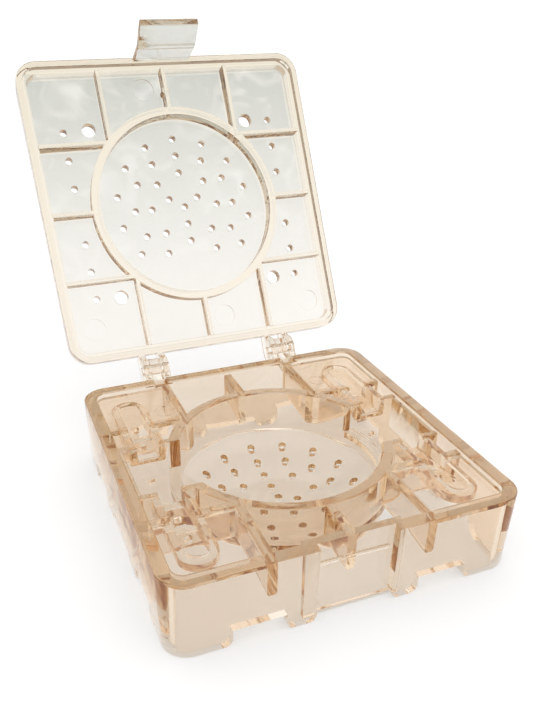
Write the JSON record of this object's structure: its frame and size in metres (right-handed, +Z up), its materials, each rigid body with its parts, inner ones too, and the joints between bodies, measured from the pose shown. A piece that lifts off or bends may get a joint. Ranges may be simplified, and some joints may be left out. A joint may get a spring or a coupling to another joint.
{
  "type": "vented insect transport box",
  "caption": "Clear plastic hinged box with a vented lid, a round bowl-floored chamber, side wells and a latch tab, shown open.",
  "frame": {"origin": "on the resting surface, under the middle of the open box's bounding box", "axes": "+X to the box's right seen from its latch side, +Y from the latch side to the hinges, +Z up"},
  "size_m": [0.09, 0.1504, 0.1138],
  "materials": {
    "tray_plastic": "clear, faint amber tint",
    "lid_plastic": "clear, faint grey tint",
    "pin_plastic": "clear, faint amber tint"
  },
  "bodies": {
    "tray": {"base_tray": "tray_plastic", "hinge_pin_left": "pin_plastic", "hinge_pin_right": "pin_plastic"},
    "lid": {"lid": "lid_plastic"}
  },
  "joints": [
    {"name": "lid_hinge", "type": "hinge", "parent": "tray", "child": "lid", "pos_m": [0, 0.02014, 0.0216], "axis": [1, 0, 0], "range_deg": [0, 120.7]}
  ]
}
